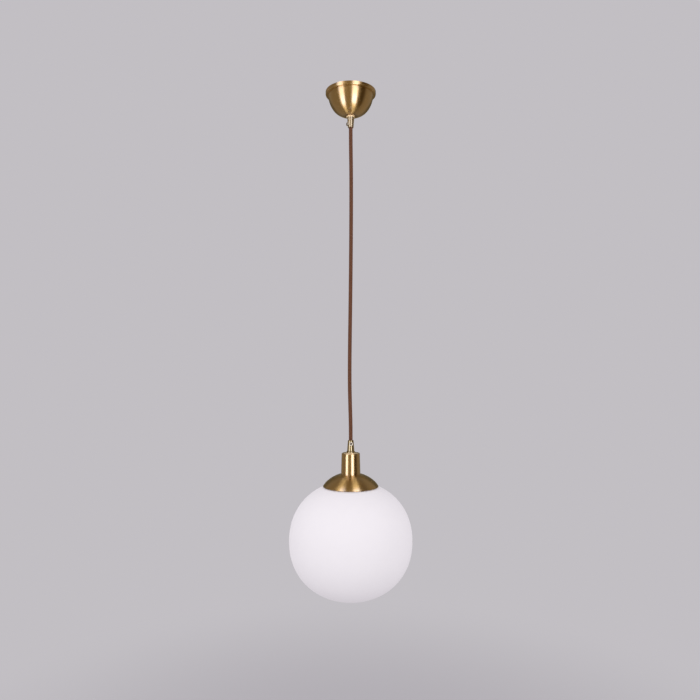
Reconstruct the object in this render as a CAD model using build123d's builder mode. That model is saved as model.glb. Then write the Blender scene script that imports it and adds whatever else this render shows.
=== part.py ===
"""Pendant ceiling light: a spun brass canopy, a textile cord and an opal globe under a brass cap.

Millimetres, +Z up. The origin is on the ceiling, on the lamp's axis, so all that hangs has a negative z.
The front of the lamp faces -Y.
"""

from build123d import *
from math import acos, asin, cos, degrees, pi, radians, sin, tan
import os

os.makedirs("parts", exist_ok=True)

# ------------------------------------------------------------- driving dimensions

sheet = 1.0  # wall of the spun brass
slack = 0.1  # radial clearance of a piece in a hole of another piece

# Ceiling bracket: a steel strip along X, both ends bent down as ears
strip_width = 20.0
strip_thickness = 2.0
ear_reach = 48.3  # outer face of an ear, from the axis
ear_depth = 5.7
slot_spacing = 60.0
slot_width = 4.5
slot_length = 10.0
earth_x = 19.5
earth_screw_radius = 2.0

# Terminal block: three poles in a row along X
block_length = 27.0
block_width = 16.0
block_height = 13.0
pole_spacing = 9.0
wire_entry_z = -10.0
clamp_spacing = 8.0  # between the two screws of a pole
clamp_radius = 1.6
block_screw_radius = 1.5

# Canopy
band_radius = 52.0  # the stepped band against the ceiling
band_height = 7.0
bowl_radius = 47.5
bowl_fullness = 2.6  # 2 is half an ellipse, more is fuller towards the pole
canopy_depth = 50.8
pole_radius = 8.5  # flat at the pole, where the grip sits
rim_screw_z = -3.3
rim_screw_radius = 1.45  # M3
rim_hole_radius = 1.6

# Cord grips with their nipples and nuts, one kind at both ends of the cord
grip_length = 24.0
flange_radius = 8.6
flange_thickness = 1.5
sleeve_radius = 7.3  # where the sleeve rises from its flange
mouth_radius = 5.7
mouth_bevel_radius = 4.9
grip_bore = 4.05
grip_screw_offset = 6.6  # from the mouth
grip_screw_seat = 6.6  # underside of the head, from the axis
grip_screw_radius = 1.5
grip_head_radius = 3.9
grip_head_height = 2.0
nipple_radius = 5.0  # M10 x 1
nipple_bore = 4.1
nipple_engagement = 8.5  # length of nipple inside a grip
washer_radius = 8.0
washer_thickness = 1.0
nut_flats = 14.0
nut_height = 3.0

# Cord
cord_diameter = 7.8
cord_height = 645.7  # between the two mouths
wire_diameter = 2.4
cord_head_z = -36.0  # top end of the sheath, in the canopy
cord_tail_spare = 3.5  # of sheath past the lower nipple
lead_radius = 1.1

# Lampholder cup and cap
cup_top_radius = 18.6
cup_foot_radius = 19.7
cup_height = 44.3
cap_centre_radius = 20.5
cap_radius = 56.5
cap_height = 24.8

# Lampholder and bulb, screw size E27
holder_radius = 16.9
socket_radius = 14.6
holder_top_height = 17.0
holder_skirt_height = 40.0
insert_thickness = 7.0
post_x = 9.0  # terminal posts, either side of the middle
post_radius = 1.4
shell_bore = 13.45
shell_wall = 0.6
shell_height = 27.0
bulb_cap_radius = 13.1
bulb_cap_wall = 0.6
bulb_radius = 30.0
bulb_wall = 1.0
bulb_length = 105.0

# Globe and its holder
globe_radius = 125.0
globe_half_height = 116.5
globe_squareness = 2.15  # 2 is an ellipse, more is fuller at the shoulders
globe_centre_z = -921.5
globe_wall = 3.0
opening_radius = 49.0
arm_reach = 51.5
arm_width = 12.0
arm_thickness = 1.5
leaf_width = 9.0
leaf_thickness = 0.6
rivet_reach = 26.5  # from the axis
rivet_radius = 1.6
gasket_width = 4.0
ring_radius = 22.3
ring_height = 6.5
ring_notches = 18
holder_turns = (90, 210, 330)  # where the three arms point

# ------------------------------------------------------------- heights, going down

canopy_mouth_z = -canopy_depth - grip_length
holder_mouth_z = canopy_mouth_z - cord_height
cup_top_z = holder_mouth_z - grip_length
cap_top_z = cup_top_z - cup_height
cap_rim_z = cap_top_z - cap_height
cord_radius = cord_diameter / 2
wire_radius = wire_diameter / 2
upright = (Align.CENTER, Align.CENTER, Align.MIN)  # a solid that stands on its location


def tangent_radii(points, share=0.45):
    """The radius of each corner's arc: as large as its two runs allow."""
    radii = []
    for before, corner, after in zip(points, points[1:], points[2:]):
        run_in, run_out = Vector(*corner) - Vector(*before), Vector(*after) - Vector(*corner)
        half_turn = radians(run_in.get_angle(run_out)) / 2
        radii.append(share * min(run_in.length, run_out.length) / tan(half_turn))
    return radii


def tube(points, radius):
    """A round cord or wire along straight runs joined by tangent arcs, and the length of its middle."""
    with BuildPart() as body:
        with BuildLine() as route:
            FilletPolyline(*points, radius=tangent_radii(points))
        path = route.wires()[0]
        with BuildSketch(Plane(origin=path @ 0, z_dir=path % 0)):
            Circle(radius)
        sweep(path=path)
    return body.part, path.length


def finish(piece, node):
    """Labels a finished piece and writes it as the node's own file."""
    piece.label = node
    export_step(piece, f"parts/{node}.step")


# ------------------------------------------------------------- at the ceiling

# Steel strip against the ceiling, its ends bent down behind the canopy's band.
ear_middle = ear_reach - strip_thickness / 2
strip_middle_z = -strip_thickness / 2
with BuildPart() as ceiling_bracket:
    with BuildSketch(Plane.XZ):
        with BuildLine():
            FilletPolyline(
                (-ear_middle, -ear_depth),
                (-ear_middle, strip_middle_z),
                (ear_middle, strip_middle_z),
                (ear_middle, -ear_depth),
                radius=1.6,
            )
        trace(line_width=strip_thickness)
    extrude(amount=strip_width / 2, both=True)
    with BuildSketch(Plane.XY):
        with GridLocations(slot_spacing, 1, 2, 1):
            SlotOverall(slot_length, slot_width)
        with Locations((earth_x, 0)):
            Circle(earth_screw_radius + slack / 2)
        with Locations((pole_spacing / 2, 0)):
            Circle(block_screw_radius + slack / 2)
    extrude(amount=-strip_thickness, mode=Mode.SUBTRACT)
    with BuildSketch(Plane.YZ):
        with Locations((0, rim_screw_z)):
            Circle(rim_screw_radius + slack / 2)
    extrude(amount=ear_reach, both=True, mode=Mode.SUBTRACT)
finish(ceiling_bracket.part, "ceiling_bracket")

# White terminal block under the strip, with a waist between its poles.
block_top_z = -strip_thickness
block_foot_z = block_top_z - block_height
block_head_radius = 2.7
with BuildPart() as terminal_block:
    with BuildSketch(Plane.XY.offset(block_top_z)):
        Rectangle(block_length, block_width)
    extrude(amount=-block_height)
    fillet(terminal_block.edges().filter_by(Axis.Z), 1.2)
    with BuildSketch(Plane.XY.offset(block_top_z)):
        with GridLocations(pole_spacing, block_width, 2, 2):
            Rectangle(1.4, 4.0)
    extrude(amount=-block_height, mode=Mode.SUBTRACT)
    with BuildSketch(Plane.XZ):
        with Locations((0, wire_entry_z)):
            with GridLocations(pole_spacing, 1, 3, 1):
                Circle(1.6)
    extrude(amount=block_width, both=True, mode=Mode.SUBTRACT)
    with BuildSketch(Plane.XY.offset(block_foot_z)):
        with GridLocations(pole_spacing, clamp_spacing, 3, 2):
            Circle(clamp_radius + slack)
    extrude(amount=3.8, mode=Mode.SUBTRACT)
    with BuildSketch(Plane.XY.offset(block_foot_z)):
        with Locations((pole_spacing / 2, 0)):
            Circle(block_screw_radius + slack)
    extrude(amount=block_height, mode=Mode.SUBTRACT)
    with BuildSketch(Plane.XY.offset(block_foot_z)):
        with Locations((pole_spacing / 2, 0)):
            Circle(block_head_radius + 2 * slack)
    extrude(amount=3.0, mode=Mode.SUBTRACT)
finish(terminal_block.part, "terminal_block")

# The six clamping screws of the block, slotted, their points just clear of the wires.
clamp_foot_z = block_foot_z + 0.4
with BuildPart() as terminal_screws:
    with BuildSketch(Plane.XY.offset(clamp_foot_z)):
        with GridLocations(pole_spacing, clamp_spacing, 3, 2):
            Circle(clamp_radius)
    extrude(amount=3.3)
    with BuildSketch(Plane.XY.offset(clamp_foot_z)):
        with GridLocations(pole_spacing, clamp_spacing, 3, 2):
            Rectangle(4.0, 0.6)
    extrude(amount=0.8, mode=Mode.SUBTRACT)
finish(terminal_screws.part, "terminal_screws")

# Pan-head screw that holds the block to the strip.
with BuildPart() as block_screw:
    with Locations((pole_spacing / 2, 0, block_foot_z + 1.2)):
        Cylinder(block_head_radius, 1.7, align=upright)
        Cylinder(block_screw_radius, block_height + 0.4, align=upright)
        Box(6.0, 0.7, 0.8, align=upright, mode=Mode.SUBTRACT)
finish(block_screw.part, "block_screw")

# Ring tag on the earth wire: a flat eye and a rolled barrel towards +Y.
tag_thickness = 0.8
barrel_radius = 1.95
barrel_z = -strip_thickness - 2.0
with BuildPart() as earth_tag:
    with BuildSketch(Plane.XY.offset(-strip_thickness)):
        with Locations((earth_x, 0)):
            Circle(4.3)
        with Locations((earth_x, 4.0)):
            Rectangle(3.4, 4.0)
        with Locations((earth_x, 0)):
            Circle(earth_screw_radius + 2 * slack, mode=Mode.SUBTRACT)
    extrude(amount=-tag_thickness)
    with BuildSketch(Plane.XZ.offset(-5.0)):
        with Locations((earth_x, barrel_z)):
            Circle(barrel_radius)
    extrude(amount=-6.0)
    with BuildSketch(Plane.XZ.offset(-5.6)):
        with Locations((earth_x, barrel_z)):
            Circle(wire_radius + 0.15)
    extrude(amount=-6.0, mode=Mode.SUBTRACT)
finish(earth_tag.part, "earth_tag")

# Earth screw: cheese head under the tag, shank through the strip.
earth_head_height = 2.4
earth_head_foot_z = -strip_thickness - tag_thickness - earth_head_height
with BuildPart() as earth_screw:
    with Locations((earth_x, 0, earth_head_foot_z)):
        Cylinder(3.6, earth_head_height, align=upright)
        Cylinder(earth_screw_radius, 5.0, align=upright)
        Box(8.0, 0.9, 1.1, align=upright, mode=Mode.SUBTRACT)
finish(earth_screw.part, "earth_screw")

# ------------------------------------------------------------- canopy

# Spun bowl: flat pole, a flank with |r / radius| ** fullness + |z / height| ** 2 = 1, a ledge and the band
# that meets the ceiling.
half_sheet = sheet / 2
flank_radius = bowl_radius - half_sheet
band_middle = band_radius - half_sheet
pole_turn = acos((pole_radius / flank_radius) ** (bowl_fullness / 2))
flank_height = (canopy_depth - half_sheet) / sin(pole_turn)
ledge_turn = asin((band_height - half_sheet) / flank_height)
flank_steps = 12
flank_points = []
for step in range(flank_steps + 1):
    turn = pole_turn + (ledge_turn - pole_turn) * step / flank_steps
    flank_points.append((flank_radius * cos(turn) ** (2 / bowl_fullness), -flank_height * sin(turn)))
with BuildPart() as canopy:
    with BuildSketch(Plane.XZ):
        with BuildLine():
            flank = Spline(*flank_points)
            Line((nipple_radius + slack, (flank @ 0).Y), flank @ 0)
            FilletPolyline(flank @ 1, (band_middle, (flank @ 1).Y), (band_middle, 0), radius=1.2)
        trace(line_width=sheet)
    revolve(axis=Axis.Z)
    with BuildSketch(Plane.YZ):
        with Locations((0, rim_screw_z)):
            Circle(rim_hole_radius)
    extrude(amount=band_radius + 1, both=True, mode=Mode.SUBTRACT)
finish(canopy.part, "canopy")

# Two headless screws through the band into the bracket's ears, a hexagon socket in each.
screw_start = ear_middle - 1.6
screw_end = band_radius - 0.3
with BuildPart() as canopy_screws:
    for side in (1, -1):
        with BuildSketch(Plane.YZ.offset(side * screw_start)):
            with Locations((0, rim_screw_z)):
                Circle(rim_screw_radius)
        extrude(amount=side * (screw_end - screw_start))
        with BuildSketch(Plane.YZ.offset(side * screw_end)):
            with Locations((0, rim_screw_z)):
                RegularPolygon(1.15, 6)
        extrude(amount=-side * 2.0, mode=Mode.SUBTRACT)
finish(canopy_screws.part, "canopy_screws")

# ------------------------------------------------------------- what joins a cord to its sheet metal

# Each end has a grip, its headless or headed screw, a nipple, a washer and a nut. The canopy's set points
# down from its pole, and the lampholder's set points up from its cup.
grip_ends = (
    ("canopy", -canopy_depth, -1, 205.0),
    ("holder", cup_top_z, 1, 274.0),
)
washer_start = sheet
nut_start = washer_start + washer_thickness
nipple_tail = nut_start + nut_height + 1.5
nipple_hole = nipple_radius + slack
seat_end = nipple_engagement + 0.3
outer_profile = (
    (nipple_hole, 0),
    (flange_radius, 0),
    (flange_radius, flange_thickness),
    (sleeve_radius, flange_thickness + 1.1),
    (mouth_radius, grip_length),
    (mouth_bevel_radius, grip_length),
)
inner_profile = (
    (mouth_bevel_radius, grip_length),
    (grip_bore, grip_length - 2.2),
    (grip_bore, seat_end),
    (nipple_hole, seat_end),
    (nipple_hole, 0),
)
for end, face_z, way, screw_turn in grip_ends:
    outward = Plane(origin=(0, 0, face_z), x_dir=(1, 0, 0), z_dir=(0, 0, way))
    section = Plane(origin=(0, 0, face_z), x_dir=(1, 0, 0), z_dir=(0, -way, 0))
    screw_axis = Plane(
        origin=(0, 0, face_z + way * (grip_length - grip_screw_offset)),
        x_dir=(0, 0, 1),
        z_dir=(cos(radians(screw_turn)), sin(radians(screw_turn)), 0),
    )

    # Conical sleeve with a rounded flange, a bell mouth for the cord and a seat for the nipple.
    with BuildPart() as grip:
        with BuildSketch(section):
            with BuildLine():
                FilletPolyline(*outer_profile, radius=(0.5, 0.7, 0.9, 0.35))
                Polyline(*inner_profile)
            make_face()
        revolve(axis=Axis.Z)
        with BuildSketch(screw_axis):
            Circle(grip_screw_radius + slack)
        extrude(amount=sleeve_radius, mode=Mode.SUBTRACT)
    finish(grip.part, f"{end}_grip")

    # Cap screw that bites the cord through the sleeve.
    with BuildPart() as grip_screw:
        with BuildSketch(screw_axis.offset(cord_radius + 0.05)):
            Circle(grip_screw_radius)
        extrude(amount=3.0)
        with BuildSketch(screw_axis.offset(grip_screw_seat)):
            Circle(grip_head_radius)
        extrude(amount=grip_head_height)
        fillet(grip_screw.edges().group_by(lambda edge: edge.length)[-1], 0.4)
        with BuildSketch(screw_axis.offset(grip_screw_seat + grip_head_height)):
            RegularPolygon(1.6, 6)
        extrude(amount=-1.4, mode=Mode.SUBTRACT)
    finish(grip_screw.part, f"{end}_grip_screw")

    # Threaded tube that the cord runs through.
    with BuildPart() as nipple:
        with BuildSketch(outward.offset(-nipple_tail)):
            Circle(nipple_radius)
            Circle(nipple_bore, mode=Mode.SUBTRACT)
        extrude(amount=nipple_tail + nipple_engagement)
    finish(nipple.part, f"{end}_nipple")

    with BuildPart() as washer:
        with BuildSketch(outward.offset(-washer_start)):
            Circle(washer_radius)
            Circle(nipple_hole, mode=Mode.SUBTRACT)
        extrude(amount=-washer_thickness)
    finish(washer.part, f"{end}_washer")

    with BuildPart() as locknut:
        with BuildSketch(outward.offset(-nut_start)):
            RegularPolygon(nut_flats / 2, 6, major_radius=False)
            Circle(nipple_radius + slack / 2, mode=Mode.SUBTRACT)
        extrude(amount=-nut_height)
    finish(locknut.part, f"{end}_locknut")

# ------------------------------------------------------------- cord and wires

# The free length between the mouths hangs almost straight, with a slack bow to the left low down.
cord_route = (
    (0, 0, canopy_mouth_z),
    (0, 0, -106),
    (0.9, 0.1, -163),
    (1.0, 0.4, -240),
    (0.4, 0.6, -340),
    (-0.8, 0.4, -450),
    (-2.1, 0, -545),
    (-2.3, -0.2, -606),
    (-1.0, -0.1, -656),
    (0, 0, -692),
    (0, 0, holder_mouth_z),
)
cord, cord_length = tube(cord_route, cord_radius)
finish(cord, "cord")
volume_ratio = cord.volume / (pi * cord_radius**2 * cord_length)
print("cord radii", [round(radius) for radius in tangent_radii(cord_route)])
print("cord length", round(cord_length, 1), "volume over section times length", round(volume_ratio, 4))

# The cord's two ends, where the grips and nipples hold it straight.
cord_tail_z = cup_top_z - nipple_tail - cord_tail_spare
for node, foot_z, head_z in (
    ("cord_head", canopy_mouth_z, cord_head_z),
    ("cord_tail", cord_tail_z, holder_mouth_z),
):
    with BuildPart() as cord_end:
        with BuildSketch(Plane.XY.offset(foot_z)):
            Circle(cord_radius)
        extrude(amount=head_z - foot_z)
    finish(cord_end.part, node)

# Wires from the sheath's end up to the block and the earth tag.
block_end_y = -4.0
wire_routes = {
    "live_wire": (
        (-1.9, -0.9, cord_head_z),
        (-1.9, -0.9, -30),
        (-5, -13.5, -23.5),
        (-9, -21.5, -15.5),
        (-9, -17.5, wire_entry_z),
        (-9, block_end_y, wire_entry_z),
    ),
    "neutral_wire": (
        (0.9, -1.9, cord_head_z),
        (0.9, -1.9, -30),
        (0.6, -13.5, -24.5),
        (0, -20.5, -16),
        (0, -16.5, wire_entry_z),
        (0, block_end_y, wire_entry_z),
    ),
    "earth_wire": (
        (0.9, 1.6, cord_head_z),
        (0.9, 1.6, -30),
        (9, 12, -23.5),
        (17.5, 20.5, -14.5),
        (earth_x, 18.5, barrel_z),
        (earth_x, 6.2, barrel_z),
    ),
}
for node, route in wire_routes.items():
    wire, wire_length = tube(route, wire_radius)
    finish(wire, node)
    print(node, [round(radius, 1) for radius in tangent_radii(route)], "length", round(wire_length))

# ------------------------------------------------------------- lampholder

# Brass cup: a slightly domed top, a rounded shoulder and a wall that widens a little downwards.
crown_z = cup_top_z - half_sheet
with BuildPart() as lampholder_cup:
    with BuildSketch(Plane.XZ):
        with BuildLine():
            FilletPolyline(
                (nipple_hole, crown_z),
                (flange_radius + 0.4, crown_z),
                (cup_top_radius - half_sheet, crown_z - 1.9),
                (cup_foot_radius - half_sheet, cap_top_z),
                radius=(6.0, 1.5),
            )
        trace(line_width=sheet)
    revolve(axis=Axis.Z)
    with BuildSketch(Plane.XY.offset(cap_top_z)):
        Circle(cap_radius)
    extrude(amount=-sheet, mode=Mode.SUBTRACT)
finish(lampholder_cup.part, "lampholder_cup")

# Moulded top of the holder, screwed on the nipple.
holder_top_z = cup_top_z - nut_start - nut_height - 0.5
insert_top_z = holder_top_z - holder_top_height
insert_foot_z = insert_top_z - insert_thickness
socket_mouth_z = insert_top_z - holder_skirt_height
with BuildPart() as lampholder_top:
    with BuildSketch(Plane.XY.offset(holder_top_z)):
        Circle(holder_radius)
    extrude(amount=insert_top_z - holder_top_z)
    fillet(lampholder_top.faces().sort_by(Axis.Z)[-1].edges(), 2.5)
    with BuildSketch(Plane.XY.offset(insert_top_z)):
        Circle(socket_radius)
    extrude(amount=14.0, mode=Mode.SUBTRACT)
    with BuildSketch(Plane.XY.offset(holder_top_z)):
        Circle(nipple_radius + slack / 2)
    extrude(amount=-holder_top_height, mode=Mode.SUBTRACT)
finish(lampholder_top.part, "lampholder_top")

# Ceramic disc that carries the contacts, with a hole for each terminal post.
with BuildPart() as lampholder_insert:
    with BuildSketch(Plane.XY.offset(insert_top_z)):
        Circle(socket_radius - 0.2)
        with GridLocations(2 * post_x, 1, 2, 1):
            Circle(post_radius + slack, mode=Mode.SUBTRACT)
    extrude(amount=insert_foot_z - insert_top_z)
    chamfer(lampholder_insert.faces().sort_by(Axis.Z)[-1].outer_wire().edges(), 0.8)
finish(lampholder_insert.part, "lampholder_insert")

# Moulded skirt with a ledge under the insert.
ledge_radius = socket_radius - 0.4
ledge_foot_z = insert_foot_z - 1.5
with BuildPart() as lampholder_skirt:
    with BuildSketch(Plane.XZ):
        with BuildLine():
            Polyline(
                (socket_radius, insert_top_z),
                (holder_radius, insert_top_z),
                (holder_radius, socket_mouth_z),
                (socket_radius + 0.3, socket_mouth_z),
                (socket_radius, socket_mouth_z + 1.0),
                (socket_radius, ledge_foot_z),
                (ledge_radius, ledge_foot_z),
                (ledge_radius, insert_foot_z),
                (socket_radius, insert_foot_z),
                close=True,
            )
        make_face()
    revolve(axis=Axis.Z)
finish(lampholder_skirt.part, "lampholder_skirt")

# Metal screw shell that takes the bulb's cap.
contact_thickness = 1.0
shell_top_z = insert_foot_z - contact_thickness
with BuildPart() as screw_shell:
    with BuildSketch(Plane.XY.offset(shell_top_z)):
        Circle(shell_bore + shell_wall)
        Circle(shell_bore, mode=Mode.SUBTRACT)
    extrude(amount=-shell_height)
finish(screw_shell.part, "screw_shell")

# Contacts: a strip under the insert and a post up through it, one to the middle and one to the shell.
post_top_z = insert_top_z + 1.5
for node, side, strip_start, strip_end in (
    ("centre_contact", 1, -3.5, post_x + 2.0),
    ("side_contact", -1, post_x - 2.0, shell_bore + shell_wall),
):
    with BuildPart() as contact:
        with BuildSketch(Plane.XY.offset(insert_foot_z)):
            with Locations((side * (strip_start + strip_end) / 2, 0)):
                Rectangle(strip_end - strip_start, 5.0)
        extrude(amount=-contact_thickness)
        with BuildSketch(Plane.XY.offset(insert_foot_z)):
            with Locations((side * post_x, 0)):
                Circle(post_radius)
        extrude(amount=post_top_z - insert_foot_z)
        fillet(contact.edges().filter_by(Axis.Z), 0.6)
    finish(contact.part, node)

# Leads from the cord's tail to the two posts.
lead_exit = 1.9
for node, side in (("live_lead", 1), ("neutral_lead", -1)):
    lead_route = (
        (side * lead_exit, 0, cord_tail_z),
        (side * lead_exit, 0, cord_tail_z - 2.0),
        (side * post_x, 0, post_top_z + 2.0),
        (side * post_x, 0, post_top_z),
    )
    finish(tube(lead_route, lead_radius)[0], node)

# ------------------------------------------------------------- cap and globe holder

holder_bore = holder_radius + 2 * slack

# Spun cap: flat where the cup stands on it, then a dome that steepens to its sharp rim.
with BuildPart() as cap:
    with BuildSketch(Plane.XZ):
        with BuildLine():
            shoulder = ThreePointArc(
                (cap_centre_radius, cap_top_z - half_sheet),
                (34.6, cap_top_z - 5.9),
                (47.8, cap_top_z - 14.8),
            )
            Line((holder_bore, cap_top_z - half_sheet), shoulder @ 0)
            TangentArc(shoulder @ 1, (cap_radius - 0.3, cap_rim_z), tangent=shoulder % 1)
        trace(line_width=sheet)
    revolve(axis=Axis.Z)
finish(cap.part, "cap")

# Pressed steel holder: a collar under the cap, a plate and three sloping arms to the glass.
collar_top_z = cap_top_z - sheet
plate_top_z = collar_top_z - 4.2
plate_middle_z = plate_top_z - arm_thickness / 2
seat_middle_z = cap_top_z - 21.45
rivet_hole = rivet_radius + slack / 2
with BuildPart() as globe_holder:
    with BuildSketch(Plane.XY.offset(plate_top_z)):
        Circle(30.0)
    extrude(amount=-arm_thickness)
    with BuildSketch(Plane.XY.offset(plate_top_z)):
        Circle(19.8)
    extrude(amount=collar_top_z - plate_top_z)
    for turn in holder_turns:
        with BuildSketch(Plane.XZ.rotated((0, 0, turn))):
            with BuildLine():
                FilletPolyline(
                    (28.0, plate_middle_z),
                    (31.0, plate_middle_z),
                    (46.6, seat_middle_z),
                    (arm_reach, seat_middle_z),
                    radius=1.5,
                )
            trace(line_width=arm_thickness)
        extrude(amount=arm_width / 2, both=True)
    with BuildSketch(Plane.XY.offset(collar_top_z)):
        Circle(holder_bore)
        for turn in holder_turns:
            with PolarLocations(rivet_reach, 1, start_angle=turn):
                Circle(rivet_hole)
    extrude(amount=-10.0, mode=Mode.SUBTRACT)
finish(globe_holder.part, "globe_holder")

# Spring leaves: riveted under the plate, down past the glass's edge, out under it and back in.
plate_foot_z = plate_top_z - arm_thickness
leaf_middle_z = plate_foot_z - leaf_thickness / 2
opening_share = 1 - (opening_radius / globe_radius) ** globe_squareness
opening_z = globe_centre_z + globe_half_height * opening_share ** (1 / globe_squareness)
for number, turn in enumerate(holder_turns, start=1):
    with BuildPart() as holder_spring:
        with BuildSketch(Plane.XZ.rotated((0, 0, turn))):
            with BuildLine():
                FilletPolyline(
                    (23.6, leaf_middle_z),
                    (30.0, leaf_middle_z),
                    (44.3, opening_z + 1.2),
                    (46.0, opening_z - 1.6),
                    (52.6, opening_z - 9.0),
                    (46.0, opening_z - 22.0),
                    radius=1.6,
                )
            trace(line_width=leaf_thickness)
        extrude(amount=leaf_width / 2, both=True)
        with BuildSketch(Plane.XY.offset(plate_foot_z)):
            with PolarLocations(rivet_reach, 1, start_angle=turn):
                Circle(rivet_hole)
        extrude(amount=-2.0, mode=Mode.SUBTRACT)
    finish(holder_spring.part, f"holder_spring_{number}")

with BuildPart() as spring_rivets:
    for turn in holder_turns:
        with BuildSketch(Plane.XY.offset(plate_foot_z - leaf_thickness)):
            with PolarLocations(rivet_reach, 1, start_angle=turn):
                Circle(2.7)
        extrude(amount=-1.1)
        with BuildSketch(Plane.XY.offset(plate_foot_z - leaf_thickness)):
            with PolarLocations(rivet_reach, 1, start_angle=turn):
                Circle(rivet_radius)
        extrude(amount=leaf_thickness + arm_thickness)
finish(spring_rivets.part, "spring_rivets")

# Soft ring between the arms and the glass's edge.
gasket_top_z = seat_middle_z - arm_thickness / 2
with BuildPart() as glass_gasket:
    with BuildSketch(Plane.XY.offset(gasket_top_z)):
        Circle(arm_reach)
        Circle(arm_reach - gasket_width, mode=Mode.SUBTRACT)
    extrude(amount=opening_z + 0.3 - gasket_top_z)
finish(glass_gasket.part, "glass_gasket")

# Threaded ring that clamps the holder and the cap against the cup, with finger notches.
with BuildPart() as shade_ring:
    with BuildSketch(Plane.XY.offset(plate_foot_z)):
        Circle(ring_radius)
        with PolarLocations(ring_radius + 0.9, ring_notches):
            Circle(1.7, mode=Mode.SUBTRACT)
        Circle(holder_radius + slack, mode=Mode.SUBTRACT)
    extrude(amount=-ring_height)
finish(shade_ring.part, "shade_ring")

# ------------------------------------------------------------- bulb

bulb_tip_z = shell_top_z - 0.1
insulator_top_z = bulb_tip_z - 1.6
bulb_cap_top_z = insulator_top_z - 3.0
bulb_cap_foot_z = bulb_tip_z - 26.5
bulb_foot_z = bulb_tip_z - bulb_length
bulb_centre_z = bulb_foot_z + bulb_radius
insulator_radius = 9.6

with BuildPart() as bulb_contact:
    with Locations((0, 0, insulator_top_z)):
        Cylinder(3.4, bulb_tip_z - insulator_top_z, align=upright)
    fillet(bulb_contact.faces().sort_by(Axis.Z)[-1].edges(), 1.2)
finish(bulb_contact.part, "bulb_contact")

with BuildPart() as bulb_insulator:
    with Locations((0, 0, bulb_cap_top_z)):
        Cone(insulator_radius, 4.4, insulator_top_z - bulb_cap_top_z, align=upright)
finish(bulb_insulator.part, "bulb_insulator")

with BuildPart() as bulb_cap:
    with BuildSketch(Plane.XZ):
        with BuildLine():
            Polyline(
                (0, bulb_cap_top_z),
                (insulator_radius, bulb_cap_top_z),
                (bulb_cap_radius, bulb_cap_top_z - 3.0),
                (bulb_cap_radius, bulb_cap_foot_z),
                (bulb_cap_radius - bulb_cap_wall, bulb_cap_foot_z),
                (bulb_cap_radius - bulb_cap_wall, bulb_cap_top_z - 3.2),
                (insulator_radius - 0.2, bulb_cap_top_z - bulb_cap_wall),
                (0, bulb_cap_top_z - bulb_cap_wall),
                close=True,
            )
        make_face()
    revolve(axis=Axis.Z)
finish(bulb_cap.part, "bulb_cap")

# Frosted envelope: a narrow neck that swells into the round end.
neck_radius = bulb_cap_radius - 0.4
rounding = bulb_radius - bulb_wall / 2
with BuildPart() as bulb_envelope:
    with BuildSketch(Plane.XZ):
        with BuildLine():
            neck = Line((neck_radius, bulb_cap_foot_z), (neck_radius, bulb_cap_foot_z - 7.0))
            swell = Spline(
                neck @ 1,
                (23.0, bulb_centre_z + 19.5),
                (rounding, bulb_centre_z),
                tangents=(neck % 1, (0, -1)),
            )
            RadiusArc(swell @ 1, (0, bulb_centre_z - rounding), rounding)
        trace(line_width=bulb_wall)
        with Locations((0, bulb_centre_z)):
            Rectangle(bulb_radius, bulb_length, align=(Align.MAX, Align.CENTER), mode=Mode.SUBTRACT)
    revolve(axis=Axis.Z)
finish(bulb_envelope.part, "bulb_envelope")

# ------------------------------------------------------------- globe


def squashed_circle(radius, half_height, reach):
    """Points down a quarter-and-more of a squashed circle, from where it is reach wide to its foot.

    Each has |r / radius| ** n + |z / half_height| ** n = 1, with n the globe's squareness.
    """
    power = 2 / globe_squareness
    start = degrees(asin((1 - (reach / radius) ** globe_squareness) ** 0.5))
    steps = 14
    points = []
    for step in range(steps + 1):
        turn = radians(start - (start + 90.0) * step / steps)
        r = radius * max(cos(turn), 0.0) ** power
        z = half_height * abs(sin(turn)) ** power * (1 if turn > 0 else -1)
        points.append((r, globe_centre_z + z))
    return points


outer_points = squashed_circle(globe_radius, globe_half_height, opening_radius)
inner_points = squashed_circle(globe_radius - globe_wall, globe_half_height - globe_wall, opening_radius)
with BuildPart() as globe:
    with BuildSketch(Plane.XZ):
        with BuildLine():
            outside = Spline(*outer_points)
            inside = Spline(*inner_points)
            Line(outside @ 0, inside @ 0)
            Line(outside @ 1, inside @ 1)
        make_face()
    revolve(axis=Axis.Z)
finish(globe.part, "globe")
print("globe opening z", round(opening_z, 2), "cap rim z", round(cap_rim_z, 2))
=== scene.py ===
"""Pendant ceiling light: finishes and formed surfaces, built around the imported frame.

Metres, +Z up, the ceiling at z = 0 and the front of the lamp towards -Y. Every formed surface is a function
of two parameters on a grid: round the axis or the cord, and along an outline or a route.
"""

import math

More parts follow.
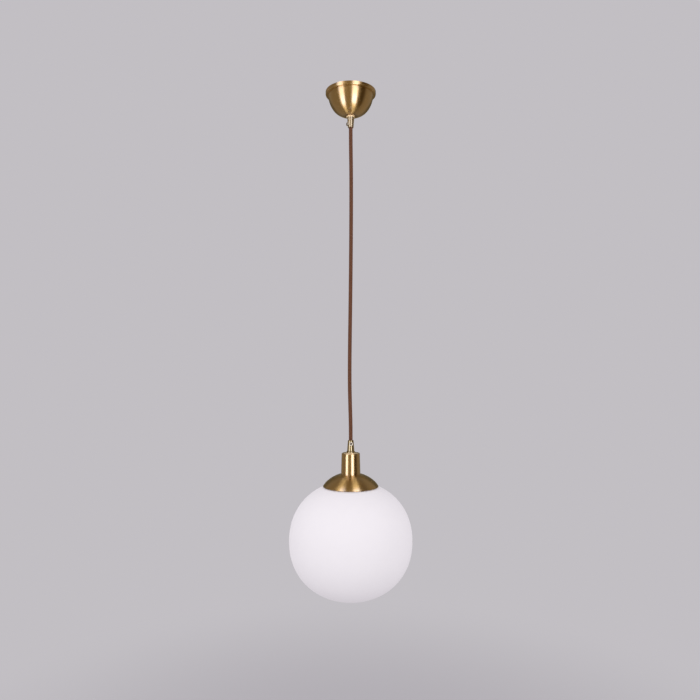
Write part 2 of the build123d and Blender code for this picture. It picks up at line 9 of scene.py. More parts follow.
import bpy
import numpy as np
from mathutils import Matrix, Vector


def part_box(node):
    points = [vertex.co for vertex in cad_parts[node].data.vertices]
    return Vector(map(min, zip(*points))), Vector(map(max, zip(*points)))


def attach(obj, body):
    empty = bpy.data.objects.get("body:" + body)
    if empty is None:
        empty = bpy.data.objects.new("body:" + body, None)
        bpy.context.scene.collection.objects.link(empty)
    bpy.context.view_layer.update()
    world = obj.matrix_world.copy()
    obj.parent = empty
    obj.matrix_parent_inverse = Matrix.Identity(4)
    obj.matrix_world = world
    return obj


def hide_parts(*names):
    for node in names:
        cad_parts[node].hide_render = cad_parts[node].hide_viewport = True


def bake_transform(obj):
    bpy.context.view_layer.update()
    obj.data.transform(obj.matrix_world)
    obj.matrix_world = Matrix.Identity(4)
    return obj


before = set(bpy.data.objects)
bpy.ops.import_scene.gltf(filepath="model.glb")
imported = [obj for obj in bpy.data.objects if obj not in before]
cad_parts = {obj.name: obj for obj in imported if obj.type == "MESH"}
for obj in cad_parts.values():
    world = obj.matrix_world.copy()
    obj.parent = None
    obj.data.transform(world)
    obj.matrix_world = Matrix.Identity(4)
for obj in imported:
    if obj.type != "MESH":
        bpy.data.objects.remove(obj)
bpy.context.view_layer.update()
mm = 0.001
full_turn = 2 * math.pi


# ------------------------------------------------------------- camera

camera_data = bpy.data.cameras.new("camera")
camera = bpy.data.objects.new("camera", camera_data)
bpy.context.scene.collection.objects.link(camera)
bpy.context.scene.camera = camera
camera_data.sensor_width = 36.0
camera_data.lens = 31.3
camera_data.clip_end = 60.0
camera_rise_degrees = 1.57
camera.location = (-0.0015, -1.249, -0.570)
camera.rotation_euler = (math.radians(90 + camera_rise_degrees), 0.0, 0.0)


# ------------------------------------------------------------- grids of points made into meshes


def grid_mesh(name, points, close_across=True, close_along=False, poles=None, uv=None):
    """A mesh over points[along, across], its rows closed into rings across and, if asked, along.

    Quads join each point to the next one across and the next one along, and poles, a first and a last
    point, close the two end rows with fans. uv is the width that a row stands for and each row's distance.
    """
    along, across = points.shape[:2]
    rows = np.arange(along if close_along else along - 1)
    columns = np.arange(across if close_across else across - 1)
    row, column = (index.ravel() for index in np.meshgrid(rows, columns, indexing="ij"))
    corner_row = np.stack([row, row, row + 1, row + 1], axis=1)
    corner_column = np.stack([column, column + 1, column + 1, column], axis=1)
    faces = ((corner_row % along) * across + corner_column % across).tolist()
    vertices = points.reshape(-1, 3)
    if poles is not None:
        ring = np.arange(across)
        last_row = (along - 1) * across
        first_pole, last_pole = np.full(across, along * across), np.full(across, along * across + 1)
        faces += np.stack([first_pole, (ring + 1) % across, ring], axis=1).tolist()
        faces += np.stack([last_row + ring, last_row + (ring + 1) % across, last_pole], axis=1).tolist()
        vertices = np.vstack([vertices, poles])
    mesh = bpy.data.meshes.new(name)
    mesh.from_pydata(vertices, [], faces)
    if uv is not None:
        width, distance = uv
        shares = [corner_column.ravel()]
        distances = [distance[np.minimum(corner_row, along - 1)].ravel()]
        if poles is not None:
            shares += [np.stack([ring + 0.5, ring + 1, ring], axis=1).ravel()]
            shares += [np.stack([ring, ring + 1, ring + 0.5], axis=1).ravel()]
            distances += [np.full(3 * across, distance[0]), np.full(3 * across, distance[-1])]
        pairs = np.stack([np.concatenate(shares) * width / across, np.concatenate(distances)], axis=1)
        mesh.uv_layers.new(name="UVMap").data.foreach_set("uv", pairs.astype(np.float32).ravel())
    mesh.shade_smooth()
    piece = bpy.data.objects.new(name, mesh)
    bpy.context.scene.collection.objects.link(piece)
    return piece


def turned(name, radius, height, around, close_along=False):
    """A piece turned about Z: x = r cos t, y = r sin t, z = h, for r and h along an outline.

    r and h are one number for each point of the outline, or an array [along, round]. An outline that isn't
    closed ends on the axis at both ends.
    """
    turn = np.linspace(0.0, full_turn, around, endpoint=False)
    radius, height = (
        np.broadcast_to(np.atleast_2d(value.T).T, (len(value), around)) for value in (radius, height)
    )
    points = np.stack([radius * np.cos(turn), radius * np.sin(turn), height], axis=2)
    poles = None if close_along else [(0, 0, height[0, 0]), (0, 0, height[-1, 0])]
    return grid_mesh(name, points, close_along=close_along, poles=poles)


def route_line(points, steps_per_metre):
    """The smooth line of an open spline of third order that has these points as its control points."""
    curve = bpy.data.curves.new("route", "CURVE")
    curve.dimensions = "3D"
    spline = curve.splines.new("NURBS")
    spline.points.add(len(points) - 1)
    spline.points.foreach_set("co", np.column_stack([points, np.ones(len(points))]).ravel())
    spline.order_u = 3
    spline.use_endpoint_u = True
    curve.resolution_u = 24
    holder = bpy.data.objects.new("route", curve)
    mesh = bpy.data.meshes.new_from_object(holder)
    line = np.empty(len(mesh.vertices) * 3)
    mesh.vertices.foreach_get("co", line)
    bpy.data.objects.remove(holder)
    bpy.data.curves.remove(curve)
    bpy.data.meshes.remove(mesh)
    line = line.reshape(-1, 3)
    distance = np.concatenate([[0.0], np.cumsum(np.linalg.norm(np.diff(line, axis=0), axis=1))])
    stations = np.linspace(0.0, distance[-1], max(2, round(distance[-1] * steps_per_metre)))
    return np.stack([np.interp(stations, distance, line[:, axis]) for axis in range(3)], axis=1), stations


def tube(name, line, stations, radius, around):
    """Circles square to a line that never runs along X, closed at both ends.

    A point of a circle is the line's own plus radius (cos t side + sin t front). The radius is one number,
    or an array [along, round].
    """
    tangent = np.gradient(line, axis=0)
    tangent /= np.linalg.norm(tangent, axis=1, keepdims=True)
    side = np.cross(np.broadcast_to([1.0, 0.0, 0.0], tangent.shape), tangent)
    side /= np.linalg.norm(side, axis=1, keepdims=True)
    front = np.cross(tangent, side)
    turn = np.linspace(0.0, full_turn, around, endpoint=False)[None, :, None]
    reach = np.broadcast_to(radius, (len(line), around))[:, :, None]
    points = line[:, None, :] + reach * (np.cos(turn) * side[:, None, :] + np.sin(turn) * front[:, None, :])
    return grid_mesh(name, points, poles=[line[0], line[-1]], uv=(full_turn * np.mean(radius), stations))


# ------------------------------------------------------------- braided cord

cord_radius = 3.9 * mm
braid_strands = 12
braid_lay = 2.3 * mm
braid_relief = 0.16 * mm
braid_steps_per_metre = 2350
braid_around = 64
canopy_mouth, holder_mouth = -74.8, -720.5
head_end, tail_end = -36, -754.5
cord_route = mm * np.array(
    [
        (0, 0, canopy_mouth),
        (0, 0, -106),
        (0.9, 0.1, -163),
        (1.0, 0.4, -240),
        (0.4, 0.6, -340),
        (-0.8, 0.4, -450),
        (-2.1, 0, -545),
        (-2.3, -0.2, -606),
        (-1.0, -0.1, -656),
        (0, 0, -692),
        (0, 0, holder_mouth),
    ]
)
head_route = mm * np.array([(0, 0, canopy_mouth), (0, 0, -55), (0, 0, head_end)])
tail_route = mm * np.array([(0, 0, holder_mouth), (0, 0, -737), (0, 0, tail_end)])


def braided_cord(name, node, body, route):
    """A cord under a braid of strands that wind both ways round it.

    Where the turn and the distance put a point at phases a and b of the two windings, the radius falls
    from its full size by relief * (1 - |sin pi a * sin pi b| ** 0.5), which raises a pillow at each crossing.
    """
    line, stations = route_line(route, braid_steps_per_metre)
    share, lays = np.meshgrid(np.arange(braid_around) / braid_around, stations / braid_lay)
    right, left = (np.sin(np.pi * (braid_strands * share + way * lays)) for way in (1, -1))
    radius = cord_radius - braid_relief * (1 - np.abs(right * left) ** 0.5)
    piece = tube(name, line, stations, radius, braid_around)
    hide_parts(node)
    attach(piece, body)
    return piece, line


flex, flex_line = braided_cord("flex", "cord", "cord", cord_route)
braided_cord("braid_head", "cord_head", "canopy", head_route)
braided_cord("braid_tail", "cord_tail", "lamp", tail_route)


# ------------------------------------------------------------- wires


def insulated_wire(name, node, route, radius):
    """A smooth round wire along a route in millimetres, which stands for a CAD wire."""
    line, stations = route_line(mm * np.array(route), wire_steps_per_metre)
    piece = tube(name, line, stations, radius, wire_around)
    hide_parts(node)
    return piece


wire_steps_per_metre, wire_around = 1500, 24
supply_radius, lead_radius = 1.2 * mm, 1.1 * mm
supply_routes = {
    "live": [
        (-1.9, -0.9, head_end),
        (-1.9, -0.9, -30),
        (-5, -13.5, -23.5),
        (-9, -21.5, -15.5),
        (-9, -17.5, -10),
        (-9, -4, -10),
    ],
    "neutral": [
        (0.9, -1.9, head_end),
        (0.9, -1.9, -30),
        (0.6, -13.5, -24.5),
        (0, -20.5, -16),
        (0, -16.5, -10),
        (0, -4, -10),
    ],
    "earth": [
        (0.9, 1.6, head_end),
        (0.9, 1.6, -30),
        (9, 12, -23.5),
        (17.5, 20.5, -14.5),
        (19.5, 18.5, -4),
        (19.5, 6.2, -4),
    ],
}
# A lead's places beside the axis and its heights, from the sheath's end to its contact.
lead_reach_and_height = ((1.9, tail_end), (1.9, -756.5), (9, -763.5), (9, -765.5))
for core, route in supply_routes.items():
    wire = insulated_wire(f"{core}_flex", f"{core}_wire", route, supply_radius)
    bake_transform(wire)
for core, side in (("live", 1), ("neutral", -1)):
    lead_route = [(side * reach, 0, height) for reach, height in lead_reach_and_height]
    lead = insulated_wire(f"{core}_tail", f"{core}_lead", lead_route, lead_radius)
    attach(lead, "lamp")


# ------------------------------------------------------------- glass globe and its gasket

globe_low, globe_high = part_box("globe")
globe_radius = globe_high[0]
globe_half_height = 116.5 * mm
globe_centre = globe_low[2] + globe_half_height
globe_squareness = 2.15
globe_wall = 3 * mm
globe_opening = 49 * mm
lip_rounding = 1.2 * mm
foot_turn = 0.012
blown_swell = 0.00016


def globe_side(radius, half_height, steps):
    """From foot to lip, r = radius * cos(t) ** p and z = half_height * sin(t) ** p over the centre.

    p is 2 over the squareness.
    """
    power = 2 / globe_squareness
    lip = math.asin((1 - ((globe_opening + lip_rounding) / radius) ** globe_squareness) ** 0.5)
    turn = np.linspace(-np.pi / 2 + foot_turn, lip, steps)
    rise = half_height * np.sign(turn) * np.abs(np.sin(turn)) ** power
    return radius * np.cos(turn) ** power, globe_centre + rise


def glass_globe():
    """The outside up to the lip, round the lip, and the inside down.

    The lip is r = opening + rounding * (1 - sin pi s), for s from 0 outside to 1 inside.
    The wall is even, and its blown surface swells by a few hundredths of a millimetre round it.
    """
    outer_r, outer_z = globe_side(globe_radius, globe_half_height, 120)
    inner_r, inner_z = globe_side(globe_radius - globe_wall, globe_half_height - globe_wall, 70)
    share = np.linspace(0, 1, 10)[1:-1]
    lip_r = globe_opening + lip_rounding * (1 - np.sin(np.pi * share))
    lip_z = outer_z[-1] + (inner_z[-1] - outer_z[-1]) * share
    radius = np.concatenate([outer_r, lip_r, inner_r[::-1]])
    height = np.concatenate([outer_z, lip_z, inner_z[::-1]])
    around, swell_turn = 240, 0.7
    turn = np.linspace(0.0, full_turn, around, endpoint=False)
    swell = blown_swell * (1 + np.cos(2 * turn + swell_turn)) / 2
    piece = turned("glass_globe", radius[:, None] * (1 - swell), height, around)
    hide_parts("globe")
    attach(piece, "globe")


def rounded_gasket():
    """A ring whose section is a squared circle: r and z go as cos(t) ** p and sin(t) ** p, with p 0.6."""
    low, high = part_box("glass_gasket")
    half_width, half_height, power = 2 * mm, (high[2] - low[2]) / 2, 0.6
    turn = np.linspace(0, full_turn, 40, endpoint=False)
    across, up = (np.sign(wave) * np.abs(wave) ** power for wave in (np.cos(turn), np.sin(turn)))
    radius = high[0] - half_width + half_width * across
    height = (low[2] + high[2]) / 2 + half_height * up
    piece = turned("gasket", radius, height, 160, close_along=True)
    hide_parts("glass_gasket")
    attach(piece, "lamp")


glass_globe()
rounded_gasket()


# ------------------------------------------------------------- rolled screw threads of the lamp base

thread_pitch = 3.62 * mm
thread_around = 120
thread_steps = 90


def thread_wave(height, fade_low, fade_high):
    """(1 + cos 2 pi (z / pitch - turn)) / 2 round and along, fading out over half a pitch at both ends."""
    turn = np.arange(thread_around) / thread_around
    wave = 0.5 + 0.5 * np.cos(full_turn * (height[:, None] / thread_pitch - turn))
    inside = np.clip(np.minimum(height - fade_low, fade_high - height) / (thread_pitch / 2), 0, 1)
    return wave * (inside * inside * (3 - 2 * inside))[:, None]


def threaded_bulb_cap():
    """Inside down from the axis, then outside up: the wall, the rolled thread and the shoulder."""
    low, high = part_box("bulb_cap")
    wall, shoulder, tip, depth, plain_foot = 0.4 * mm, 3 * mm, 9.6 * mm, 0.7 * mm, 1.5 * mm
    outside = np.linspace(low[2], high[2] - shoulder, thread_steps)
    groove = depth * thread_wave(outside, low[2] + plain_foot, high[2] - shoulder)
    above = np.linspace(0, 1, 8)[1:]
    bend_r = high[0] - (high[0] - tip) * above
    bend_z = high[2] - shoulder + shoulder * np.sin(above * np.pi / 2) ** 1.2
    top_inside, top_outside = (
        np.broadcast_to(np.reshape(values, (-1, 1)), (len(values), thread_around))
        for values in ([tip / 2, tip - wall], [*bend_r, tip / 2])
    )
    radius = np.concatenate([top_inside, (high[0] - wall - groove)[::-1], high[0] - groove, top_outside])
    height = np.concatenate([[high[2] - wall] * 2, outside[::-1] - wall / 4, outside, bend_z, [high[2]]])
    piece = turned("bulb_base", radius, height, thread_around)
    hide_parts("bulb_cap")
    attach(piece, "bulb")


def threaded_shell():
    """A thin sleeve with the same thread rolled into it: the outside up, then the inside down."""
    low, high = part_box("screw_shell")
    wall, depth, plain_foot, plain_head = 0.6 * mm, 0.3 * mm, 0.8 * mm, 2 * mm
    outside = np.linspace(low[2], high[2], thread_steps)
    ridge = depth * thread_wave(outside, low[2] + plain_foot, high[2] - plain_head)
    radius = np.concatenate([high[0] - ridge, (high[0] - wall - ridge)[::-1]])
    height = np.concatenate([outside, outside[::-1]])
    piece = turned("lamp_shell", radius, height, thread_around, close_along=True)
    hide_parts("screw_shell")
    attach(piece, "lamp")


threaded_bulb_cap()
threaded_shell()


# ------------------------------------------------------------- shader expressions


class Signal:
    """A number that varies over a surface. Arithmetic on it adds Math nodes to its finish."""

    def __init__(self, finish, socket):
        self.finish, self.socket = finish, socket

    def maths(self, operation, *values):
        return self.finish.add("ShaderNodeMath", {"operation": operation}, *values).out(0)

    def __add__(self, other):
        return self.maths("ADD", self, other)

    def __sub__(self, other):
        return self.maths("SUBTRACT", self, other)

    def __rsub__(self, other):
        return self.maths("SUBTRACT", other, self)

    def __mul__(self, other):
        return self.maths("MULTIPLY", self, other)

    def __truediv__(self, other):
        return self.maths("DIVIDE", self, other)

    def __pow__(self, other):
        return self.maths("POWER", self, other)

    __radd__ = __add__
    __rmul__ = __mul__

    def one(self, operation):
        """A Math operation on this number alone, such as SINE, FLOOR or FRACT."""
        return self.maths(operation, self)


class Node:
    """A node of a finish, with its outputs as signals."""

    def __init__(self, finish, node):
        self.finish, self.node = finish, node

    def out(self, key):
        return Signal(self.finish, self.node.outputs[key])


class Finish:
    """A material being made round its Principled shader, whose constants are set on its own sockets."""

    def __init__(self, name, **constants):
        self.material = bpy.data.materials.new(name)
        self.material.use_nodes = True
        self.tree = self.material.node_tree
        self.shader = self.tree.nodes["Principled BSDF"]
        for socket, value in constants.items():
            self.shader.inputs[socket.replace("_", " ")].default_value = value

    def add(self, kind, settings=None, *values, **named):
        """A node of a type: its settings first, then its sockets' values or links, in order or by name."""
        node = self.tree.nodes.new(kind)
        for setting, value in (settings or {}).items():
            setattr(node, setting, value)
        by_name = ((key.replace("_", " "), value) for key, value in named.items())
        for key, value in (*enumerate(values), *by_name):
            if isinstance(value, Signal):
                self.tree.links.new(value.socket, node.inputs[key])
            elif value is not None:
                node.inputs[key].default_value = value
        return Node(self, node)

    def shader_signal(self):
        return Signal(self, self.shader.outputs[0])

    def feed(self, socket, signal):
        self.tree.links.new(signal.socket, self.shader.inputs[socket])

    def coordinate(self, kind="Object"):
        """The piece's own position, or its UV."""
        return self.add("ShaderNodeTexCoord").out(kind)

    def parts(self, vector):
        """The x, y and z of a vector."""
        split = self.add("ShaderNodeSeparateXYZ", None, vector)
        return [split.out(axis) for axis in "XYZ"]

    def vector(self, x, y, z):
        return self.add("ShaderNodeCombineXYZ", None, x, y, z).out(0)

    def noise(self, at, scale, detail=2.0):
        return self.add("ShaderNodeTexNoise", None, Vector=at, Scale=scale, Detail=detail).out(0)

    def ramp(self, value, low, high):
        """0 below low and 1 above high, smooth between."""
        return self.add("ShaderNodeMapRange", {"interpolation_type": "SMOOTHSTEP"}, value, low, high).out(0)

    def blend(self, share, first, second):
        """A colour between two, by a share from 0 to 1. Mix has its colours at sockets 6 and 7."""
        mix = self.add("ShaderNodeMix", {"data_type": "RGBA"})
        for key, value in ((0, share), (6, first), (7, second)):
            if isinstance(value, Signal):
                self.tree.links.new(value.socket, mix.node.inputs[key])
            else:
                mix.node.inputs[key].default_value = value if key == 0 else (*value, 1.0)
        return mix.out(2)

    def bump(self, height, strength, distance):
        relief = self.add("ShaderNodeBump", None, Strength=strength, Distance=distance, Height=height)
        self.feed("Normal", relief.out(0))


# ------------------------------------------------------------- finishes

# A pale brass tone, painted as a highlight on the cup's shoulder and on the canopy grip's flange.
highlight_brass = (0.95, 0.76, 0.46)


def brushed_brass():
    """Spun brass, brushed round the axis under clear lacquer: fine rings of changing gloss and tone.

    Shade and a reflection of the grip are painted into it close round the canopy's grip, and a pale highlight
    is painted on the shoulder of the cup, which is also more matt.
    """
    finish = Finish(
        "brushed_brass",
        Metallic=1.0,
        Anisotropic=1.0,
        Anisotropic_Rotation=0.25,
        Coat_Weight=1.0,
        Coat_Roughness=0.12,
        Coat_IOR=1.9,
    )
    at = finish.coordinate()
    x, y, z = finish.parts(at)
    reach = (x * x + y * y) ** 0.5
    rings_per_metre, drift = 1400.0, 0.6
    rings = finish.vector(x / reach * drift, y / reach * drift, (z + reach) * rings_per_metre)
    stroke = finish.noise(rings, 1.0, detail=3.0)
    cloud = finish.noise(at, 45.0)
    tone = stroke * 0.6 + cloud * 0.4
    canopy_foot, cup_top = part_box("canopy")[0][2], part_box("lampholder_cup")[1][2]
    # Painted shade: the brass is painted darker close round the canopy's grip, for the grip's shadow and
    # reflection.
    near_grip = 1.0 - finish.ramp(reach, 9 * mm, 17 * mm)
    painted_grip_shade = near_grip * finish.ramp(z, canopy_foot - 3 * mm, canopy_foot - 1 * mm)
    # Painted highlight: the cup's shoulder is painted pale, and made more matt.
    edge = finish.ramp(z, cup_top - 2.9 * mm, cup_top - 1.9 * mm)
    edge = edge * (1.0 - finish.ramp(z, cup_top + 1 * mm, cup_top + 3 * mm))
    brass = finish.blend(tone, (0.49, 0.30, 0.09), (0.57, 0.355, 0.115))
    brass = finish.blend(edge, finish.blend(painted_grip_shade, brass, (0.25, 0.12, 0.03)), highlight_brass)
    finish.feed("Base Color", brass)
    finish.feed("Roughness", 0.33 + stroke * 0.03 + cloud * 0.03 + edge * 0.45)
    return finish.material


def turned_metal(name, low, high, roughness, spread=0.1, flange=None):
    """Metal cut on a lathe or pressed: close lines of changing tone and gloss along the piece.

    A flange, given by its two heights, is more matt than the rest and has a pale highlight painted on it.
    """
    finish = Finish(name, Metallic=1.0)
    x, y, z = finish.parts(finish.coordinate())
    lines_per_metre, drift = 5200.0, 60.0
    lines = finish.noise(finish.vector(x * drift, y * drift, z * lines_per_metre), 1.0)
    tone, gloss = finish.blend(lines, low, high), roughness + lines * spread
    if flange:
        # Painted highlight: the flange is painted pale, and made more matt.
        matt = finish.ramp(z, *flange)
        tone, gloss = finish.blend(matt, tone, highlight_brass), gloss + matt * 0.4
    finish.feed("Base Color", tone)
    finish.feed("Roughness", gloss)
    return finish.material


def socket_screw(name, node, turn_degrees):
    """Satin steel with shade painted near black into its socket, for a screw whose axis points straight away
    from Z at a turn.
    """
    low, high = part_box(node)
    height = (low[2] + high[2]) / 2
    turn = math.radians(turn_degrees)
    finish = Finish(name, Metallic=1.0)
    at = finish.coordinate()
    x, y, z = finish.parts(at)
    aside = y * math.cos(turn) - x * math.sin(turn)
    above = z - height
    # Painted shade: inside this radius the screw is painted near black, as the shade in its socket.
    socket_shade_edge = (1.8 * mm, 2.1 * mm)
    clear_of_socket_shade = finish.ramp((aside * aside + above * above) ** 0.5, *socket_shade_edge)
    haze = finish.noise(at, 900.0)
    steel = finish.blend(haze, (0.46, 0.40, 0.29), (0.55, 0.48, 0.37))
    finish.feed("Base Color", finish.blend(clear_of_socket_shade, (0.008, 0.006, 0.004), steel))
    finish.feed("Roughness", 0.48 + haze * 0.10)
    return finish.material


def zinc_plate():
    """Zinc-plated steel: flat crystals of slightly different grey, with a dull gloss."""
    finish = Finish("zinc_plate", Metallic=1.0)
    at = finish.coordinate()
    crystals_per_metre = 420.0
    crystal = finish.add("ShaderNodeTexVoronoi", None, Vector=at, Scale=crystals_per_metre).out("Color") * 1.0
    haze = finish.noise(at, 90.0, detail=3.0)
    tone = crystal * 0.6 + haze * 0.4
    finish.feed("Base Color", finish.blend(tone, (0.48, 0.49, 0.50), (0.68, 0.69, 0.69)))
    finish.feed("Roughness", 0.30 + crystal * 0.16)
    return finish.material


def moulded(name, low, high, roughness, grain, relief=0.0, spread=0.1, **constants):
    """A cast or moulded stuff: a cloudy tone at the grain's size and a skin of fine pits."""
    finish = Finish(name, **constants)
    at = finish.coordinate()
    cloud = finish.noise(at, 1 / grain, detail=3.0)
    finish.feed("Base Color", finish.blend(cloud, low, high))
    finish.feed("Roughness", roughness + cloud * spread)
    if relief:
        finish.bump(finish.noise(at, 6 / grain), 0.5, relief)
    return finish.material


def opal_glass():
    """White cased glass with an even satin skin, so matt that it shows no gloss."""
    return moulded(
        "opal_glass",
        (0.866, 0.845, 0.862),
        (0.884, 0.863, 0.880),
        roughness=0.55,
        grain=0.02,
        relief=0.00001,
        spread=0.06,
        Specular_IOR_Level=0.0,
    )


def textile_braid():
    """Cotton braid: pillows of yarn where the windings cross, with fibres along the strand on top."""
    finish = Finish("textile_braid", Specular_IOR_Level=0.15)
    round_it, along_it, _ = finish.parts(finish.coordinate("UV"))
    share = round_it * (braid_strands / (full_turn * cord_radius))
    lays = along_it * (1 / braid_lay)
    right, left = share + lays, share - lays
    pillow = ((right * math.pi).one("SINE") * (left * math.pi).one("SINE")).one("ABSOLUTE")
    on_top = ((right.one("FLOOR") + left.one("FLOOR")) * 0.5).one("FRACT") * 2.0
    across = right * on_top + left * (1 - on_top)
    lengthwise = left * on_top + right * (1 - on_top)
    fibres_across, fibres_along = 9.0, 1.2
    fibres = finish.vector(across * fibres_across, lengthwise * fibres_along, on_top)
    fibre = finish.noise(fibres, 1.0, detail=3.0)
    yarn = finish.blend(fibre, (0.102, 0.041, 0.021), (0.250, 0.113, 0.062))
    # Painted shade: where the pillows fall away into the gaps between strands, the braid is painted near
    # black.
    finish.feed("Base Color", finish.blend(finish.ramp(pillow, 0.02, 0.45), (0.045, 0.018, 0.010), yarn))
    finish.feed("Roughness", 0.95 - fibre * 0.15)
    finish.bump(fibre, 0.5, 0.0001)
    return finish.material


def earth_insulation():
    """Green plastic with a yellow stripe along each side of the wire."""
    finish = Finish("earth_insulation", Roughness=0.42)
    wave = (finish.parts(finish.coordinate("UV"))[0] * (2 / supply_radius)).one("COSINE")
    stripe = finish.ramp(wave, -0.05, 0.05)
    finish.feed("Base Color", finish.blend(stripe, (0.03, 0.24, 0.06), (0.78, 0.62, 0.05)))
    return finish.material


def dress(material, *names):
    """Gives each piece or CAD node of these names the material."""
    for name in names:
        piece = bpy.data.objects[name]
        piece.data.materials.clear()
        piece.data.materials.append(material)


grip_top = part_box("canopy_grip")[1][2]
grip_flange = (grip_top - 2.8 * mm, grip_top - 2.2 * mm)
dress(brushed_brass(), "canopy", "cap", "lampholder_cup")
dress(
    turned_metal(
        "satin_brass",
        (0.42, 0.33, 0.195),
        (0.52, 0.42, 0.265),
        roughness=0.31,
        spread=0.08,
        flange=grip_flange,
    ),
    "canopy_grip",
)
dress(
    turned_metal("polished_brass", (0.34, 0.265, 0.135), (0.44, 0.355, 0.20), roughness=0.14, spread=0.05),
    "holder_grip",
)
dress(
    turned_metal("machined_brass", (0.62, 0.44, 0.16), (0.78, 0.58, 0.26), roughness=0.22),
    "canopy_nipple",
    "canopy_locknut",
    "holder_nipple",
    "holder_locknut",
    "terminal_screws",
    "earth_screw",
    "lamp_shell",
    "centre_contact",
    "side_contact",
    "spring_rivets",
)
dress(zinc_plate(), "ceiling_bracket", "canopy_washer", "holder_washer", "globe_holder")
dress(
    turned_metal("plated_steel", (0.62, 0.62, 0.61), (0.78, 0.78, 0.77), roughness=0.18),
    "block_screw",
    "canopy_screws",
)
for end, screw_turn in (("canopy", 205), ("holder", 274)):
    dress(socket_screw(f"{end}_screw_steel", f"{end}_grip_screw", screw_turn), f"{end}_grip_screw")
dress(
    turned_metal("spring_steel", (0.50, 0.51, 0.52), (0.66, 0.67, 0.68), roughness=0.20),
    "holder_spring_1",
    "holder_spring_2",
    "holder_spring_3",
)
dress(turned_metal("bulb_metal", (0.66, 0.65, 0.62), (0.80, 0.79, 0.76), roughness=0.20), "bulb_base")
dress(
    moulded(
        "solder",
        (0.52, 0.52, 0.53),
        (0.70, 0.70, 0.70),
        roughness=0.32,
        grain=0.003,
        Metallic=1.0,
    ),
    "earth_tag",
    "bulb_contact",
)
dress(
    moulded(
        "black_moulding",
        (0.012, 0.012, 0.013),
        (0.022, 0.022, 0.023),
        roughness=0.36,
        grain=0.004,
        relief=0.00003,
    ),
    "lampholder_top",
    "lampholder_skirt",
    "shade_ring",
)
dress(
    moulded(
        "porcelain",
        (0.74, 0.72, 0.66),
        (0.80, 0.78, 0.73),
        roughness=0.12,
        grain=0.006,
        Coat_Weight=0.6,
        Coat_Roughness=0.08,
    ),
    "lampholder_insert",
)
dress(
    moulded(
        "silicone",
        (0.60, 0.60, 0.58),
        (0.68, 0.68, 0.66),
        roughness=0.50,
        grain=0.005,
        relief=0.00002,
    ),
    "gasket",
)
dress(
    moulded(
        "white_nylon",
        (0.72, 0.72, 0.68),
        (0.80, 0.80, 0.77),
        roughness=0.40,
        grain=0.004,
        relief=0.00003,
    ),
    "terminal_block",
)
dress(
    moulded(
        "black_glass",
        (0.008, 0.008, 0.010),
        (0.016, 0.014, 0.020),
        roughness=0.08,
        grain=0.003,
    ),
    "bulb_insulator",
)
dress(
    moulded(
        "frosted_glass",
        (0.80, 0.80, 0.80),
        (0.86, 0.86, 0.86),
        roughness=0.42,
        grain=0.01,
        Transmission_Weight=0.25,
    ),
    "bulb_envelope",
)
dress(opal_glass(), "glass_globe")
dress(textile_braid(), "flex", "braid_head", "braid_tail")
dress(
    moulded(
        "brown_insulation",
        (0.10, 0.040, 0.018),
        (0.13, 0.055, 0.025),
        roughness=0.36,
        grain=0.006,
    ),
    "live_flex",
    "live_tail",
)
dress(
    moulded(
        "blue_insulation",
        (0.012, 0.075, 0.33),
        (0.018, 0.10, 0.40),
        roughness=0.36,
        grain=0.006,
    ),
    "neutral_flex",
    "neutral_tail",
)
dress(earth_insulation(), "earth_flex")


# ------------------------------------------------------------- studio

middle = np.array([0.0, 0.0, -0.5])
backdrop = (0.540, 0.520, 0.548)
fill_strength = 1.27
room_tone = (0.325, 0.270, 0.185)
overhead_tone = (0.22, 0.165, 0.10)
underfoot_tone = (0.36, 0.29, 0.17)
# Each strip: its azimuth, how far that turns high up, half its width and half its soft edge in degrees, and
# its tones low down, level with the lamp, above it and high up, which change over at tone_steps.
tone_steps = ((-0.35, 0.05), (0.1, 0.35), (0.5, 0.68))
warm_tone, dark_tone = (0.40, 0.32, 0.19), (0.06, 0.04, 0.02)
side_tone, corner_tone = (0.30, 0.245, 0.165), (0.12, 0.10, 0.055)
back_tones = (corner_tone, corner_tone, (0.8, 0.74, 0.6), corner_tone)
room_strips = (
    (-13, 0, 14, 10, (warm_tone, warm_tone, warm_tone, (0.54, 0.43, 0.26))),
    (62, 0, 16, 13, (dark_tone, dark_tone, dark_tone, (0.30, 0.235, 0.15))),
    (-100, 0, 30, 16, (room_tone, side_tone, side_tone, side_tone)),
    (-152, 0, 18, 8, (room_tone, corner_tone, corner_tone, corner_tone)),
    (152, 0, 18, 8, (room_tone, corner_tone, corner_tone, corner_tone)),
    (-180, 0, 12, 6, back_tones),
    (180, 0, 12, 6, back_tones),
    (-47, 12, 12.5, 5, ((4.2, 4.4, 5.4), (2.55, 2.6, 3.1), (2.35, 2.4, 2.9), (3.1, 3.15, 3.75))),
    (21.5, 4, 13.5, 7, ((4.9, 5.15, 6.2), (2.75, 2.8, 3.3), (2.5, 2.55, 3.1), (4.0, 4.05, 4.7))),
)


def studio_light(name, azimuth, elevation, distance, size, radiance):
    """A soft panel that faces the lamp's middle, azimuth 0 in front and growing to the right.

    Its power is four times its radiance for each square metre.
    """
    turn, lift = math.radians(azimuth), math.radians(elevation)
    out = np.array([math.sin(turn) * math.cos(lift), -math.cos(turn) * math.cos(lift), math.sin(lift)])
    data = bpy.data.lights.new(name, "AREA")
    data.shape = "RECTANGLE"
    data.size, data.size_y = size
    data.energy = radiance * 4 * size[0] * size[1]
    panel = bpy.data.objects.new(name, data)
    bpy.context.scene.collection.objects.link(panel)
    panel.location = middle + distance * out
    panel.rotation_euler = (math.radians(90 - elevation), 0.0, turn)
    panel.visible_camera = panel.visible_glossy = False


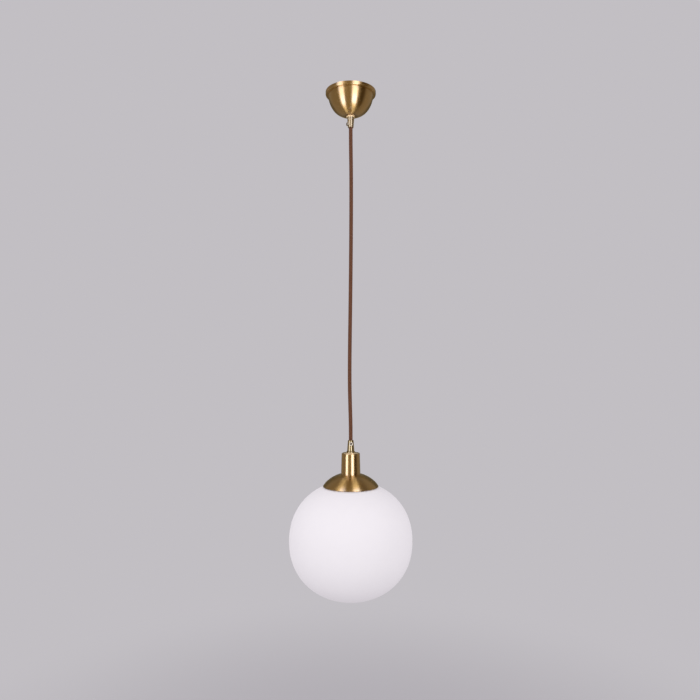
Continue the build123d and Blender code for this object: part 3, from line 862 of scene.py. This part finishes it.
def metal_surround(distance):
    """A sphere about the lamp that only its metal sees: x = d cos e sin a, y = -d cos e cos a, z = d sin e.

    It is a dark room with upright strips of other tones, which lean away from the front high up and low down:
    a strip lies where the azimuth a, times (cos e) ** 0.65, is near its own. A strip's own azimuth may turn a
    little high up, and its tone changes with the height.
    """
    turn, lift = np.meshgrid(
        np.radians(np.linspace(-180.0, 180.0, 145)),
        np.radians(np.linspace(-89.5, 89.5, 90)),
    )
    points = distance * np.stack(
        [np.cos(lift) * np.sin(turn), -np.cos(lift) * np.cos(turn), np.sin(lift)],
        axis=2,
    )
    surround = grid_mesh("surround", points + middle, close_across=False)
    finish = Finish("dark_room", Base_Color=(0, 0, 0, 1), Specular_IOR_Level=0.0, Emission_Strength=1.0)
    x, y, z = finish.parts(finish.coordinate())
    rise = (z - middle[2]) / distance
    cosine = (x * x + y * y) ** 0.5 / distance
    azimuth = x.maths("ARCTAN2", x, 0.0 - y) * cosine**0.65
    steps = [finish.ramp(rise, start, end) for start, end in tone_steps]
    tone = room_tone
    for centre, lean, half_width, edge, strip_tones in room_strips:
        away = (azimuth - math.radians(centre) - steps[-1] * math.radians(lean)).one("ABSOLUTE")
        outside = finish.ramp(away, math.radians(half_width - edge), math.radians(half_width + edge))
        strip_tone = strip_tones[0]
        for step, next_tone in zip(steps, strip_tones[1:]):
            strip_tone = finish.blend(step, strip_tone, next_tone)
        tone = finish.blend(outside, strip_tone, tone)
    tone = finish.blend(finish.ramp(rise, -0.98, -0.6), underfoot_tone, tone)
    finish.feed("Emission Color", finish.blend(finish.ramp(rise, 0.65, 1.0), tone, overhead_tone))
    finish.material.cycles.emission_sampling = "NONE"
    surround.data.materials.append(finish.material)
    surround.visible_camera = surround.visible_diffuse = surround.visible_shadow = False
    surround.visible_transmission = False


def lit_world():
    """A pale studio all round: what is seen directly, in metal or through glass, and a soft fill besides."""
    world = bpy.data.worlds.new("studio")
    bpy.context.scene.world = world
    world.use_nodes = True
    nodes, links = world.node_tree.nodes, world.node_tree.links
    background = nodes["Background"]
    background.inputs["Color"].default_value = (*backdrop, 1.0)
    path = nodes.new("ShaderNodeLightPath")
    seen = path.outputs["Is Camera Ray"]
    for ray in ("Is Glossy Ray", "Is Transmission Ray"):
        either = nodes.new("ShaderNodeMath")
        either.operation = "MAXIMUM"
        links.new(seen, either.inputs[0])
        links.new(path.outputs[ray], either.inputs[1])
        seen = either.outputs[0]
    level = nodes.new("ShaderNodeMapRange")
    level.inputs["To Min"].default_value = fill_strength
    level.inputs["To Max"].default_value = 1.0
    links.new(seen, level.inputs["Value"])
    links.new(level.outputs[0], background.inputs["Strength"])


def studio_floor(height, reach):
    """A flat round floor, x = r cos t and y = r sin t, that fades into the backdrop before its edge."""
    turn, radius = np.meshgrid(
        np.linspace(0.0, full_turn, 96, endpoint=False),
        np.linspace(reach, 0.002, 24),
    )
    points = np.stack([radius * np.cos(turn), radius * np.sin(turn), np.full_like(turn, height)], axis=2)
    floor = grid_mesh("floor", points)
    finish = Finish("floor_paper", Base_Color=(0.50, 0.49, 0.51, 1), Roughness=0.95)
    x, y, _ = finish.parts(finish.coordinate())
    share = finish.ramp((x * x + y * y) ** 0.5, 0.3, 1.5)
    far = finish.add("ShaderNodeEmission", None, (*backdrop, 1.0), 1.0).out(0)
    mixed = finish.add("ShaderNodeMixShader", None, share, finish.shader_signal(), far).out(0)
    finish.tree.links.new(mixed.socket, finish.tree.nodes["Material Output"].inputs["Surface"])
    floor.data.materials.append(finish.material)
    floor.visible_glossy = floor.visible_shadow = floor.visible_diffuse = False


lit_world()
studio_floor(height=-1.6, reach=9.0)
studio_light("left_light", azimuth=-47, elevation=12, distance=2.0, size=(0.9, 1.2), radiance=1.95)
studio_light("right_light", azimuth=22, elevation=12, distance=2.0, size=(1.2, 1.2), radiance=1.68)
studio_light("left_side_light", azimuth=-105, elevation=10, distance=2.6, size=(2.4, 2.4), radiance=0.25)
studio_light("right_side_light", azimuth=85, elevation=10, distance=2.6, size=(2.4, 2.4), radiance=0.27)
metal_surround(distance=3.2)

bpy.context.scene.view_settings.view_transform = "Standard"
